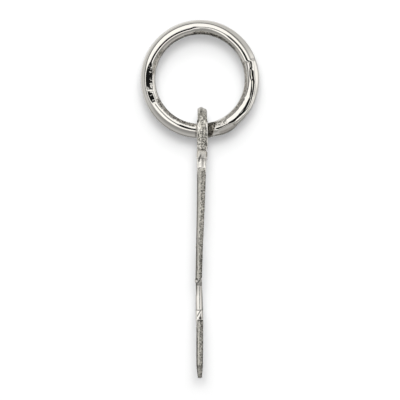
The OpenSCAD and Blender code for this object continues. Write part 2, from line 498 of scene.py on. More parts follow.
def letter_outline():
    """The S with its corners cut, and the ear's tab let into its top edge."""
    corners = letter_corners()
    place, cut_before, cut_after = corners[:, :2], corners[:, 2:3], corners[:, 3:]
    back = np.roll(place, 1, axis=0) - place
    on = np.roll(place, -1, axis=0) - place
    before = place + back / np.linalg.norm(back, axis=1, keepdims=True) * cut_before
    after = place + on / np.linalg.norm(on, axis=1, keepdims=True) * cut_after
    strokes = np.stack([before, after], 1).reshape(-1, 2) + (0, MIDDLE_Z)
    side = EAR_W / 2
    crown_z = EAR_TOP_Z - side
    tab = np.concatenate([
        arc((side + EAR_FILLET, TOP_Z + EAR_FILLET), EAR_FILLET, -90, -180, 9),
        arc((0, crown_z), side, 0, 180, 60),
        arc((-side - EAR_FILLET, TOP_Z + EAR_FILLET), EAR_FILLET, 0, -90, 9),
    ])
    return np.concatenate([strokes, tab])


def even_loop(points, step, smooth):
    """A closed line's points, spaced evenly and rounded by averaging each with its neighbours."""
    closed = np.concatenate([points, points[:1]])
    length = np.concatenate([[0], np.cumsum(np.linalg.norm(np.diff(closed, axis=0), axis=1))])
    count = int(round(length[-1] / step))
    at = np.arange(count) * length[-1] / count
    loop = np.column_stack([np.interp(at, length, closed[:, axis]) for axis in (0, 1)])
    for _ in range(smooth):
        loop = (np.roll(loop, 1, axis=0) + 2 * loop + np.roll(loop, -1, axis=0)) / 4
    return loop


def outward(loop):
    """Unit normals of a closed line, away from its inside."""
    along = np.roll(loop, -1, axis=0) - np.roll(loop, 1, axis=0)
    normal = np.column_stack([along[:, 1], -along[:, 0]])
    return normal / np.linalg.norm(normal, axis=1, keepdims=True)


def worn_outline():
    """The outline with its corners rounded a little, and far more at the two feet."""
    cast_line = even_loop(letter_outline(), EDGE_STEP, smooth=CORNER_WEAR)
    worn_line = even_loop(letter_outline(), EDGE_STEP, smooth=FOOT_WEAR)
    x, z = cast_line[:, :1], cast_line[:, 1:]
    from_middle = np.where(x > 0, 1, -1) * (z - MIDDLE_Z)
    at_foot = hill(from_middle - LETTER_H / 2 + 0.5, 1.0, 0.4) * (np.abs(x) > LETTER_W / 2 - 1.2)
    return cast_line + (worn_line - cast_line) * at_foot


def plate_sides(x, z):
    """Back and front of the casting in Y at a place of the front view: the plate's side view by height,
    turning into the ear's own thickness where the ear and its foot are."""
    share, middle, thick = np.array(SECTIONS).T
    heights = np.linspace(-0.05, 1.05, 441)
    soften = bell(np.linspace(-2, 2, 25), 1)
    soften = soften / soften.sum()
    down = (TOP_Z - z) / LETTER_H
    middle = np.interp(down, heights, np.convolve(np.interp(heights, share, middle), soften, "same"))
    thick = PLATE_T * np.interp(down, heights, np.convolve(np.interp(heights, share, thick), soften, "same"))
    thick = thick * (1 + SHOULDER * hill(TOP_Z - 0.45 - z, 0.5, 0.5))
    on_ear = hill(x, EAR_W / 2 + 0.02, 0.14) * past(z - TOP_Z + EAR_FOOT + 0.08, 0.16)
    on_ear = np.maximum(on_ear, (z > TOP_Z + EAR_FILLET).astype(float))
    above_worn = past(z - EAR_WORN_Z + 0.025, 0.05)
    ear_t = EAR_T + (EAR_TIP_T - EAR_T) * above_worn
    ear_t = ear_t + (EAR_WORN_T - EAR_T) * (1 - above_worn) * past(z - TOP_Z, 0.5)
    middle = middle + (EAR_MID_Y - middle) * on_ear
    half = (thick + (ear_t - thick) * on_ear) / 2
    side_z = np.where(x > 0, 2 * MIDDLE_Z - z, z)
    from_side = np.abs(x) - LETTER_W / 2
    burr = hill(from_side, 0.25, 0.2) * bell(side_z - BAR_LOW_Z - 0.11, 0.15)
    lip = hill(TOP_Z - 0.25 - z, 0.25, 0.2) * hill(from_side, 1.2, 0.4)
    tip_back = hill(z - TIP_TOP_Z, 0.75, 0.4)
    return middle + half + BURR * burr + TIP_BACK * tip_back, middle - half - LIP * lip


def edge_wall(loop, relief, arris, top):
    """Wall round a closed line: each point of the line is carried from the plate's back to its front, with
    a quarter circle of radius arris at either side, and pushed outwards by the relief.
    The ear's top slopes down at its front by the share top."""
    flat = np.zeros(POINTS_FLAT)
    at_side = np.ones(POINTS_ARRIS)
    share = np.concatenate([at_side, np.linspace(1, -1, POINTS_FLAT), -at_side])
    lift = np.concatenate([np.cos(ARRIS_TURN), flat, -np.cos(ARRIS_TURN[::-1])])
    inset = np.concatenate([1 - np.sin(ARRIS_TURN), flat, 1 - np.sin(ARRIS_TURN[::-1])])
    back, front = plate_sides(loop[:, 0], loop[:, 1])
    middle, half = (back + front)[:, None] / 2, (back - front)[:, None] / 2
    slope = EAR_SLOPE * top * past(EAR_SLOPE_FROM - share, 1 + EAR_SLOPE_FROM)
    out = relief - inset * arris - slope
    normal = outward(loop)
    points = np.empty((len(loop), len(share), 3))
    points[..., 0] = loop[:, :1] + normal[:, :1] * out
    points[..., 1] = middle + share * (half - arris) + lift * arris
    points[..., 2] = loop[:, 1:] + normal[:, 1:] * out
    return points


def inside(points, loops):
    """Whether each point lies in the area between closed lines, by counting crossings to its right."""
    crossings = np.zeros(len(points), int)
    for loop in loops:
        start, stop = loop, np.roll(loop, -1, axis=0)
        for first in range(0, len(points), BATCH):
            x, z = points[first:first + BATCH, :1], points[first:first + BATCH, 1:]
            spans = (start[:, 1] > z) != (stop[:, 1] > z)
            rise = stop[:, 1] - start[:, 1]
            rise = np.where(np.abs(rise) < 1e-12, 1e-12, rise)
            at = start[:, 0] + (z - start[:, 1]) * (stop[:, 0] - start[:, 0]) / rise
            crossings[first:first + BATCH] += (spans & (x < at)).sum(1)
    return crossings % 2 == 1


def near_loop(points, loops, distance):
    """Whether each point is closer than distance to any point of the closed lines."""
    close = np.zeros(len(points), bool)
    for loop in loops:
        for first in range(0, len(points), BATCH):
            gap = points[first:first + BATCH, None, :] - loop[None, :, :]
            close[first:first + BATCH] |= (np.hypot(gap[..., 0], gap[..., 1]) < distance).any(1)
    return close


def face_net(loops):
    """Points inside the closed lines and the triangles that join them and the lines' own points."""
    rim = np.concatenate(loops)
    across = np.arange(rim[:, 0].min(), rim[:, 0].max(), FACE_STEP)
    up = np.arange(rim[:, 1].min(), rim[:, 1].max(), FACE_STEP)
    grid = np.stack(np.meshgrid(across, up), -1)
    grid[1::2, :, 0] += FACE_STEP / 2
    grid = grid.reshape(-1, 2)
    grid = grid[inside(grid, loops)]
    grid = grid[~near_loop(grid, loops, FACE_STEP * 0.5)]
    sides, first = [], 0
    for loop in loops:
        number_of = np.arange(len(loop))
        sides.append(np.column_stack([number_of, (number_of + 1) % len(loop)]) + first)
        first += len(loop)
    places = np.concatenate([rim, grid])
    corners = [Vector(place) for place in places]
    joined = delaunay_2d_cdt(corners, np.concatenate(sides).tolist(), [], 0, 1e-7)
    faces, given_as = joined[2], joined[3]
    source = np.array([given[0] if given else -1 for given in given_as])
    triangles = source[np.array(faces)]
    middles = places[triangles].mean(1)
    return grid, triangles[inside(middles, loops)]


# The grid of the edge: a row for each point of the outline, and a column for each place across the plate,
# from 1 at its back to -1 at its front. Beside either face this share is the arris.
ARRIS_SHARE = 0.2
outline = worn_outline()
edge_x, edge_z = outline[:, :1], outline[:, 1:]
round_over = 1 - ARRIS_SHARE + ARRIS_SHARE * np.cos(ARRIS_TURN)
flat_places = np.linspace(1 - ARRIS_SHARE, ARRIS_SHARE - 1, POINTS_FLAT)
across = np.concatenate([round_over, flat_places, -round_over[::-1]])[None, :]
back_y, front_y = plate_sides(edge_x, edge_z)
# The S is the same when it is turned by half a turn, and so are the marks on its edge: both halves are
# described at the left edge, by the height there
turned = (edge_x > 0) & (edge_z < TOP_Z + 0.001)
side_z = np.where(turned, 2 * MIDDLE_Z - edge_z, edge_z)
side_x = -np.abs(edge_x)
edge_shape = (len(outline), across.size)
fine = mottle(*edge_shape, 1.3, 0.9, seed=21)
long_grain = mottle(*edge_shape, 5, 0.7, seed=22)
slow = mottle(*edge_shape, 14, 7, seed=24)

# Dark hollows in the ear's rim; the two rows at -6.04 mm, at its back and front edges, are painted
# shadows where the ring's wire meets the ear's sides.
# Columns: place across (1 at the back, -1 at the front), height in mm, half width across, half height in
# mm, share
EAR_HOLLOWS_AND_SHADOWS = [
    (0.36, -5.33, 0.20, 0.16, 0.9), (0.30, -5.55, 0.12, 0.08, 0.5), (-0.35, -5.40, 0.12, 0.08, 0.4),
    # The first two spots on the next line are painted shadows where the ring's wire meets the ear
    (0.92, -6.04, 0.20, 0.09, 1.6), (-1.00, -6.04, 0.20, 0.09, 1.6), (0.70, -7.05, 0.12, 0.14, 1.0),
    (0.51, -7.33, 0.12, 0.13, 0.9), (0.50, -7.68, 0.18, 0.06, 0.7), (0.60, -7.96, 0.20, 0.06, 0.6),
    (-0.80, -7.05, 0.12, 0.09, 0.7), (-0.80, -7.30, 0.12, 0.08, 0.7), (-0.78, -7.70, 0.16, 0.14, 0.7),
]
# Where the ring has burnished the ear's rim; the same columns
EAR_BURNISH = [
    (0.74, -6.40, 0.17, 0.34, 1.0), (0.97, -6.95, 0.13, 0.45, 1.1), (-0.93, -7.20, 0.15, 0.85, 1.6),
    (-0.72, -6.45, 0.08, 0.25, 0.7), (-0.86, -6.50, 0.17, 0.40, 1.5), (0.48, -6.55, 0.12, 0.12, 0.7),
    (0.20, -6.67, 0.10, 0.07, 0.7), (-0.25, -6.87, 0.07, 0.05, 0.8), (-0.25, -7.14, 0.07, 0.05, 0.8),
]
# Darker stretches of the upright edges; the same columns
EDGE_SHADES = [
    (-0.62, -15.80, 0.18, 1.10, 0.55), (0.60, -15.80, 0.25, 1.20, 0.20),
    (-0.80, -22.20, 0.16, 1.50, 0.35), (0.80, -22.20, 0.15, 1.60, 0.30),
]
# The dark dot on the lower stroke's end; the same columns
TIP_DOT = [(-0.22, TIP_TOP_Z - 0.55, 0.27, 0.085, 1.7)]
# The bead at the back of the bar's end, and the dark lines by it: painted shadows above and below the
# bead, and a third line that climbs from it.
# Columns: place across that the line goes through, height there in mm, how much it climbs from the
# plate's middle to its back, half width in mm, middle of its stretch across, half length of that, its
# fading, share
BEAD_Z = BAR_LOW_Z + 0.14
BAR_BEAD = [(0, BEAD_Z, 0, 0.08, 0.62, 0.35, 0.3, 1.0)]
BAR_SHADOWS_AND_LINE = [
    (0, BEAD_Z + 0.16, 0, 0.05, 0.62, 0.40, 0.3, 0.9),
    (0, BEAD_Z - 0.14, 0, 0.05, 0.62, 0.40, 0.3, 0.9),
    (0.25, BEAD_Z - 0.10, -0.33, 0.045, -0.85, 1.15, 0.001, 0.9),
]
# The slanting dark lines on the lower stroke's end, a reflection painted on its cut; the same columns
TIP_REFLECTION_LINES = [
    (-0.32, TIP_TOP_Z - 0.06, -0.40, 0.05, 0.10, 0.50, 0.1, 1.36),
    (-0.44, TIP_TOP_Z - 0.25, -0.72, 0.055, -0.30, 0.20, 0.1, 0.88),
]
# The painted shadow line between the crown's cut and the ear's foot; the same columns
EAR_FOOT_SHADOW = [(0, TOP_Z + 0.08, 0.14, 0.05, 0, 2, 0.1, 0.8)]
# Painted shade along the back and the front outlines of the cast edges and of the worn walls, where
# their arrises turn away from the light.
# Columns: place across, half width across, share
CAST_OUTLINE_SHADES = [(0.87, 0.20, 0.48), (-0.97, 0.12, 0.75)]
WALL_OUTLINE_SHADES = [(0.79, 0.16, 0.55), (-0.93, 0.14, 0.60)]
# Rows of small pits along the edge, where the mould's halves met and the casting stayed porous.
# Columns: place across, height of the row's top and bottom in mm, pitch in mm, share
PIT_ROWS = [
    (-0.04, -5.95, -8.05, 0.17, 1.10), (-0.62, -6.75, -8.05, 0.17, 1.00),
    (-0.30, -7.20, -8.05, 0.19, 0.90), (0.00, -11.0, -15.0, 0.40, 0.90),
    (-0.24, -9.60, -16.95, 0.165, 1.10), (-0.50, -10.2, -16.95, 0.30, 0.80),
    (-0.75, -9.50, -16.95, 0.160, 1.10), (0.85, -14.2, -16.9, 0.40, 0.70),
    (-0.10, -19.85, -23.75, 0.160, 1.05), (-0.38, -19.85, -23.75, 0.30, 0.80),
    (-0.68, -19.85, -23.75, 0.160, 1.10), (0.70, -20.0, -23.60, 0.45, 0.80),
]
# Half width across and half height in mm of such a pit
PIT_ACROSS, PIT_TALL = 0.115, 0.036

# Heights and depths of the edge's relief, in mm. The cast edges have fine bumps and longer ones, and the
# ear has so much more of each.
FINE_BUMPS, LONG_BUMPS, EAR_FINE_BUMPS, EAR_LONG_BUMPS = 0.001, 0.0014, 0.005, 0.006
CROWN_BULGE, BAR_BULGE, BEAD_HEIGHT = 0.19, 0.05, 0.09
EAR_HOLLOW_DEPTH, PIT_DEPTH, TIP_DOT_DEPTH, POROUS_DEPTH = 0.02, 0.012, 0.03, 0.006
ARCH_FRONT, ARCH_BACK = 0.14, 0.10
# Slopes away from the parting line and from the ridge on the worn walls, and how blunt each is in mm
PARTING_SLOPE, PARTING_BLUNT, WALL_SLOPE, WALL_BLUNT = 0.155, 0.010, 0.175, 0.013
# The parting line's place across the plate, and the ridge's place in Y
PARTING_ACROSS, RIDGE_Y = -0.32, 0.03
# Height at which the ring's wire stops rubbing the ear's rim
EAR_UNRUBBED_Z = -7.3
# The painted dark V on the crown's cut, a reflection painted into its colour: where its point is, as a
# share of the cut's height and across, and how fast its arms spread
VEE_DOWN, VEE_ACROSS, VEE_SPREAD = 0.37, 0.17, 0.95
# Painted shade on the worn walls: everywhere, near the bar, on their front half and along their front,
# and how far each of these takes to set in, across
WALL_SHADE, NEAR_BAR_SHADE, FRONT_SHADE, FRONTMOST_SHADE, SHADE_FADE = 0.03, 0.27, 0.12, 0.22, 0.2
# Darkening of the cast edges: everywhere, and besides on their back half
CAST_SHADE, CAST_BACK_SHADE = 0.16, 0.16


def scattered_pits():
    """Table for spots(): along each row of PIT_ROWS a pit every pitch, moved and sized at random."""
    chance = np.random.default_rng(31)
    table = []
    for at_across, top_z, bottom_z, pitch, share in PIT_ROWS:
        for at_z in np.arange(top_z, bottom_z, -pitch):
            sideways, along, size, depth = chance.uniform(-1, 1, 4)
            table.append((at_across + 0.09 * sideways, at_z + 0.35 * pitch * along,
                          PIT_ACROSS + 0.025 * size, PIT_TALL + 0.008 * size, share * (1 + 0.4 * depth)))
    return table


def spots(across, height, table):
    """Round spots, each s exp(-((across - a) / w)^2 - ((height - z) / l)^2) for a row (a, z, w, l, s) of
    the table, added up and kept between 0 and 1."""
    total = 0
    for at_across, at_height, wide, long, share in table:
        total = total + share * bell(across - at_across, wide) * bell(height - at_height, long)
    return np.clip(total, 0, 1)


def lines_over(table):
    """Lines over the edge, each s exp(-(d / w)^2) along its own stretch, added up: d is the height in mm
    above the straight line that a row of the table describes, w its half width and s its share."""
    total = 0
    for at_across, at_z, climb, half_width, middle, half_length, fade, share in table:
        line = bell(side_z - at_z - climb * (across - at_across), half_width)
        total = total + share * line * hill(across - middle, half_length, fade)
    return total


def shade_at(place, half_width, share):
    """A shade all along the edge: share * exp(-((across - place) / half_width)^2)."""
    return share * bell(across - place, half_width)


# Where the zones of the edge are: the ear, the crown's cut, the feet, the upright outer edges that stay
# as cast between two slanting ends, the bar's end and the lower stroke's end
ear = past(edge_z - TOP_Z - 0.02, 0.2)
crown_down = (TOP_Z - side_z) / CROWN_CLIP
on_crown = (side_x < -LETTER_W / 2 + CROWN_CLIP) * hill(crown_down - 0.5, 0.5, 0.02)
lower = (side_z < BAR_LOW_Z - 0.5).astype(float)
outermost = (side_x < -LETTER_W / 2 + 0.004).astype(float)
outermost = (outermost + np.roll(outermost, 1, axis=0) + np.roll(outermost, -1, axis=0)) / 3
near_foot = (side_z < FOOT_Z + FOOT_CLIP + 0.6) * (side_x < -LETTER_W / 2 + FOOT_CLIP)
upright = np.maximum(outermost, near_foot)
foot = near_foot * past(FOOT_Z + FOOT_CLIP - side_z, 0.2)
upper_first_z = TOP_Z - CROWN_CLIP - 0.02 - 0.55 * past(np.abs(across) - 0.55, 0.45) ** 2
lower_first_z = TIP_TOP_Z - TIP_CLIP - 0.10 * past(across, 1) ** 2 - 0.45 * past(across - 0.7, 0.25)
below_first = np.where(lower > 0, lower_first_z, upper_first_z) - side_z
last_z = np.where(lower > 0, FOOT_Z - 1, BAR_LOW_Z + BAR_CLIP + 0.03 - 0.10 * across)
cast = upright * past(below_first, 0.05) * past(side_z - last_z, 0.05)
bar_end = (side_x < -LETTER_W / 2 + 0.35) * (1 - lower)
tip = (side_z < TIP_TOP_Z + 0.02) * (side_z > TIP_TOP_Z - 1.2) * (side_x < -LETTER_W / 2 + 1.1)


# Each zone below gives what it adds to the edge: relief in mm outwards, and shares of matt, polish, pits,
# grain, residue and painted shade, and painted shade along the outlines


def ear_rim():
    """The ear's rim: rough as cast, with hollows and with painted shadows where the ring's wire meets its
    sides, rounded towards its sides, burnished by the ring and with painted shade along its outlines;
    its lower front is roughest."""
    hollows_and_shadows = spots(across, edge_z, EAR_HOLLOWS_AND_SHADOWS) * ear
    burnished = spots(across, edge_z, EAR_BURNISH) * ear * (1 - hollows_and_shadows)
    unrubbed = EAR_UNRUBBED_Z - edge_z
    roughest = past(0.12 - across, 0.15) * past(unrubbed, 0.2) * (edge_z > TOP_Z + 0.08)
    smoother = 0.2 * past(across - 0.05, 0.2) * past(unrubbed, 0.5)
    as_cast = ear * (1 - burnished)
    bumps = (FINE_BUMPS + EAR_FINE_BUMPS * ear) * fine
    bumps = bumps + (LONG_BUMPS + EAR_LONG_BUMPS * ear) * long_grain
    rounded = ear * (0.032 * across ** 2 + 0.07 * past(across - 0.25, 1))
    rounded = rounded + 0.10 * as_cast * past(-across - 0.7, 1)
    return {
        "relief": as_cast * (1 - smoother) * bumps - EAR_HOLLOW_DEPTH * hollows_and_shadows - rounded,
        "matt": 0.85 * ear * (1 - 0.95 * burnished) * (1 - smoother),
        "pits": as_cast * np.where(across < 0.15, 0.35, 0.2) + 0.4 * roughest,
        "grain": ear,
        "residue_and_shade": 0.95 * hollows_and_shadows + as_cast * (0.10 + 0.08 * (across < 0.1)) + 0.04 * roughest,
        # Painted shade along the rim's outlines
        "outline": 0.3 * as_cast * bell(np.abs(across) - 0.97, 0.06),
    }


def top_edge():
    """The top edge on either side of the ear, arched a little from back to front."""
    arch = ARCH_FRONT * past(-across - 0.45, 0.55) ** 2 + ARCH_BACK * past(across - 0.5, 0.5) ** 2
    beside_ear = past(-side_x - EAR_W / 2 - EAR_FILLET, 0.6)
    return {"relief": -arch * past(edge_z - TOP_Z + 0.62, 0.5) * beside_ear}


def crown():
    """The cut at the crown: below a painted reflection like a dark upturned V it bulges, so that its lower
    part faces outwards. Painted dark patches of reflection lie on it, painted shade along its front edge,
    and a painted shadow line divides it from the ear's foot."""
    bulge = np.clip(np.minimum(crown_down / 0.6, (1 - crown_down) / 0.4), 0, 1)
    from_vee = VEE_SPREAD * (crown_down - VEE_DOWN) - np.abs(across - VEE_ACROSS)
    # A painted dark reflection in the shape of an upturned V
    vee_reflection = bell(from_vee, 0.13) * hill(crown_down - 0.52, 0.23, 0.12) * np.where(across > VEE_ACROSS, 1, 0.2)
    # Painted darker patches of reflection on the polished cut
    painted_dark = 1.4 * hill(across + 0.22, 0.24, 0.2) * past(crown_down - 0.3, 0.35)
    painted_dark = painted_dark + hill(across - 0.64, 0.06, 0.1) * past(crown_down - 0.45, 0.1)
    painted_dark = painted_dark + hill(across + 0.62, 0.20, 0.1) * hill(crown_down - 0.68, 0.05, 0.1)
    at_ear = (edge_z > TOP_Z - 0.01) * (-side_x < EAR_W / 2 + EAR_FILLET)
    # Painted shadow line where the ear's foot meets the crown's cut
    foot_shadow_line = lines_over(EAR_FOOT_SHADOW) * past(0.1 - across, 0.1) * np.maximum(on_crown, at_ear)
    return {
        "relief": CROWN_BULGE * bulge * on_crown,
        "residue_and_shade": on_crown * (1.3 * vee_reflection + 0.38 * painted_dark) + foot_shadow_line,
        # Painted shade along the cut's front edge
        "outline": on_crown * hill(across + 0.83, 0.09, 0.09) * hill(crown_down, 0.42, 0.2),
    }


def cast_edges():
    """The upright outer edges: as cast, with the mould's parting line, porous along their front half, and
    with painted shade along their outlines."""
    front_half = past(0.02 + 0.12 * slow - across, 0.2)
    porous = np.where(lower > 0, past(0.16 + 0.12 * slow - across, 0.2), front_half)
    parting_y = (across - PARTING_ACROSS) * (back_y - front_y) / 2
    draft = PARTING_SLOPE * np.hypot(parting_y, PARTING_BLUNT) + 0.015 * parting_y
    shade = CAST_SHADE + CAST_BACK_SHADE * past(across - 0.1, 0.5)
    # Painted shade along the back and the front outlines
    back_edge_shade, front_edge_shade = (shade_at(*row) for row in CAST_OUTLINE_SHADES)
    bumps = FINE_BUMPS * fine + LONG_BUMPS * long_grain
    pits = cast * (0.05 + np.where(lower > 0, 0.3, 0.35) * porous) * np.clip(1 + 0.1 * slow, 0, 1.3)
    return {
        "relief": cast * (bumps - POROUS_DEPTH * front_half - draft),
        "matt": cast * (0.8 + 0.2 * front_half),
        "pits": pits + 0.2 * foot,
        "grain": cast * (0.1 + 0.9 * porous),
        "residue_and_shade": cast * (spots(across, side_z, EDGE_SHADES) + (1 - 0.7 * foot) * shade),
        "outline": cast * (back_edge_shade * np.clip(below_first / 0.6, 0.45, 1) + front_edge_shade),
    }


def rows_of_pits():
    """The pits of PIT_ROWS: dark hollows in the cast edges and in the ear's rim."""
    holes = spots(across, side_z, scattered_pits()) * np.maximum(cast, ear)
    return {"relief": -PIT_DEPTH * holes, "residue_and_shade": 0.95 * holes}


def bar_bead():
    """The end of the middle bar: a bright bead at its back between two painted shadow lines, a third dark
    line that climbs from it towards the front, and a small bulge on the cut corner."""
    bead = lines_over(BAR_BEAD) * bar_end
    bulge = hill(side_z - BAR_LOW_Z - BAR_CLIP / 2, 0.02, 0.2) * bar_end
    return {
        "relief": BEAD_HEIGHT * bead + BAR_BULGE * bulge,
        "polish": np.clip(1.3 * bead, 0, 1),
        # Painted shadows above and below the bead, and a dark line climbing from it
        "residue_and_shade": lines_over(BAR_SHADOWS_AND_LINE) * bar_end * (side_z < BAR_LOW_Z + 0.6),
    }


def worn_walls():
    """The inner walls and the rest of the outline: polished, each worn down on either side of a blunt
    ridge that runs along it at RIDGE_Y, with painted shade near the middle bar and towards both outlines."""
    worn = ((edge_z < TOP_Z + 0.001) & (upright == 0) & (on_crown == 0)).astype(float)
    from_ridge = (back_y + front_y) / 2 + across * (back_y - front_y) / 2 - RIDGE_Y
    near_bar = past(1.1 - np.abs(edge_z - MIDDLE_Z) + BAR_W / 2, 0.6)
    # Painted shade, deepest near the middle bar and towards both outlines
    painted_dark = WALL_SHADE + NEAR_BAR_SHADE * near_bar + FRONT_SHADE * past(-across, SHADE_FADE)
    painted_dark = painted_dark + FRONTMOST_SHADE * past(-0.35 - across, SHADE_FADE)
    painted_dark = painted_dark + sum(shade_at(*row) for row in WALL_OUTLINE_SHADES)
    painted_dark = painted_dark * (1 - 0.5 * near_bar * past(-0.5 - across, SHADE_FADE))
    painted_dark = painted_dark + 0.12 * near_bar * past(across - 0.1, SHADE_FADE)
    return {
        "relief": -WALL_SLOPE * worn * (1 - 0.75 * tip) * np.hypot(from_ridge, WALL_BLUNT),
        "outline": worn * painted_dark * (1 - 0.35 * tip) * (1 - 0.75 * bar_end),
    }


def stroke_end():
    """The lower stroke's end: two dark slanting lines that are a painted reflection on its cut, a dark dot
    below them, and a dark line along the place where the cast edge begins."""
    dot = spots(across, side_z, TIP_DOT) * tip
    beside_dot = shade_at(-0.44, 0.13, 0.36) * past(TIP_TOP_Z - 0.22 - side_z, 0.1)
    end_line = 0.96 * bell(below_first - 0.06, 0.05) * lower * upright * past(0.5 - across, 0.2)
    # The slanting lines are a painted reflection on the cut
    lines = (lines_over(TIP_REFLECTION_LINES) + beside_dot) * tip + end_line
    return {"relief": -TIP_DOT_DEPTH * dot, "residue_and_shade": dot + lines}


zones = [
    ear_rim(), top_edge(), crown(), cast_edges(), rows_of_pits(), bar_bead(), worn_walls(), stroke_end(),
]


def summed(what):
    """What all zones of the edge add together to one of its masks, or to its relief."""
    return sum(zone.get(what, 0) for zone in zones)


# The marks end just before the faces, and the painted shade along the outlines a little nearer to them
on_wall = hill(across, 0.98, 0.03)
edge_residue_and_shade = summed("residue_and_shade") * on_wall + summed("outline") * (np.abs(across) < 0.99)
edge_masks = {
    "matt": summed("matt") * (1 - summed("polish")) * on_wall,
    "residue_and_shade": np.clip(edge_residue_and_shade, 0, 1),
    "pits": np.clip(summed("pits"), 0, 1) * on_wall,
    "grain": LEAST_GRAIN + (1 - LEAST_GRAIN) * summed("grain"),
}
# The ear's top is more rounded than the other edges, and the feet are less
top = past(edge_z - EAR_TOP_Z + 1.1, 0.9) * ear
arris = ARRIS_R + (TOP_ARRIS_R - ARRIS_R) * top - 0.02 * foot


def casting_mesh(wall, hole_wall):
    """Points, four-cornered and three-cornered faces of the casting: the wall round its outline, the wall
    of its hole, and for its back and its front a net of triangles on the walls' last points."""
    columns = wall.shape[1]
    rim = np.arange(len(wall) + len(hole_wall)) * columns
    points = [wall.reshape(-1, 3), hole_wall.reshape(-1, 3)]
    triangles = []
    total = len(rim) * columns
    for column, is_back in ((0, True), (columns - 1, False)):
        loops = [wall[:, column, ::2], hole_wall[:, column, ::2]]
        grid, net = face_net(loops)
        back, front = plate_sides(grid[:, 0], grid[:, 1])
        points.append(np.column_stack([grid[:, 0], back if is_back else front, grid[:, 1]]))
        flat = np.concatenate([*loops, grid])
        first, second, third = flat[net[:, 0]], flat[net[:, 1]], flat[net[:, 2]]
        turn = np.cross(second - first, third - first)
        net = np.where(((turn < 0) != is_back)[:, None], net[:, ::-1], net)
        numbers = np.concatenate([rim + column, total + np.arange(len(grid))])
        triangles.append(numbers[net])
        total += len(grid)
    quads = np.concatenate([
        band_faces(len(wall), columns, close_columns=False),
        band_faces(len(hole_wall), columns, close_columns=False) + len(wall) * columns,
    ])
    return np.concatenate(points), quads, np.concatenate(triangles)


hole = even_loop(arc((0, HOLE_Z), HOLE_R, 360, 0, 181)[:-1], EDGE_STEP, smooth=0)
letter_points, letter_quads, letter_triangles = casting_mesh(
    edge_wall(outline, summed("relief"), arris, top),
    edge_wall(hole, 0.0, ARRIS_R, 0.0),
)
# The hole and the faces are plain polished metal
plain = {"matt": 0.0, "residue_and_shade": 0.0, "pits": 0.0, "grain": LEAST_GRAIN}
plain_points = len(letter_points) - len(outline) * across.size
letter_masks = {mask: np.append(edge_masks[mask], np.full(plain_points, plain[mask])) for mask in plain}
letter = mesh_piece("letter_casting", letter_points, letter_quads, letter_triangles, letter_masks)
letter_silver = silver("letter_silver", 0.000012, Polished_roughness=0.09, Matt_roughness=0.28,
                       Matt_colour=(0.72, 0.695, 0.62, 1), Mark_size=9000, Pit_size=7200)
letter.data.materials.append(letter_silver)
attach(letter, "charm")
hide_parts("letter")


# The studio: a white room with one large soft light up and to the left of the camera, whose rim shows
# as a thin dark line in the polished wire, a pale floor below, and a white card behind the charm that
# shows its soft shadow and is seen from the front only.
CAMERA_DISTANCE = 0.25
PHOTO_WIDTH = 0.02788
CAMERA_Z = -0.011537
# The camera and both lamps look along +X
LOOKING_AT_EDGE = (math.pi / 2, 0, -math.pi / 2)
TOWARDS_CAMERA = (-1, 0, 0)
SOFT_LIGHT_AXIS = (-0.918, 0.200, 0.341)
PANEL_AXIS = (-0.242, -0.970, 0)
LIGHT_SIDE = (0, 0.5, 0.866)
DARK_CORNER_AXIS = (0.10, -0.97, -0.20)
# Brightness of the room away from its lights, of the soft light's rim and of the dark middle round the
# camera, and the share of all light that comes from behind the charm
ROOM_GREY, RIM_GREY, MIDDLE_DARK, BEHIND = 0.47, 0.16, 0.01, 0.68
# Lamps above the camera, which the silver doesn't mirror.
# Columns: name, power in watts, radius and height above the camera in metres
LAMPS = [("lamp", 1.38, 0.0061, 0.0067), ("fill", 0.83, 0.014, 0.0138)]
LAMP_X = -CAMERA_DISTANCE - 0.01
# The card's place, half size and the distance from its middle where it begins to fade, in metres
CARD_X, CARD_HALF, CARD_FADE = 0.020, 0.030, 0.024
FLOOR_Z, FLOOR_R, FLOOR_FADE = -0.060, 0.5, 0.2
DISC_SPOKES, DISC_HOOPS = 96, 24

camera_data = bpy.data.cameras.new("camera")
camera_data.sensor_width = 36
camera_data.lens = camera_data.sensor_width * CAMERA_DISTANCE / PHOTO_WIDTH
camera_data.clip_start = 0.01
camera_data.clip_end = 10
camera = bpy.data.objects.new("camera", camera_data)
camera.location = (-CAMERA_DISTANCE, 0, CAMERA_Z)
camera.rotation_euler = LOOKING_AT_EDGE
bpy.context.scene.collection.objects.link(camera)
bpy.context.scene.camera = camera
bpy.context.scene.view_settings.view_transform = "Standard"

world = bpy.data.worlds.new("studio")
world.use_nodes = True
bpy.context.scene.world = world
room = world.node_tree
room.nodes.clear()


def lean(direction, axis):
    """The cosine of the angle between a direction and an axis."""
    node = room.nodes.new("ShaderNodeVectorMath")
    node.operation = "DOT_PRODUCT"
    room.links.new(direction, node.inputs[0])
    node.inputs[1].default_value = axis
    return node.outputs["Value"]


def rises(value, start_degrees, stop_degrees):
    """0 where a ray is further from an axis than the first angle, 1 nearer than the second."""
    node = room.nodes.new("ShaderNodeMapRange")
    node.interpolation_type = "SMOOTHSTEP"
    room.links.new(value, node.inputs["Value"])
    node.inputs["From Min"].default_value = math.cos(math.radians(start_degrees))
    node.inputs["From Max"].default_value = math.cos(math.radians(stop_degrees))
    return node.outputs["Result"]


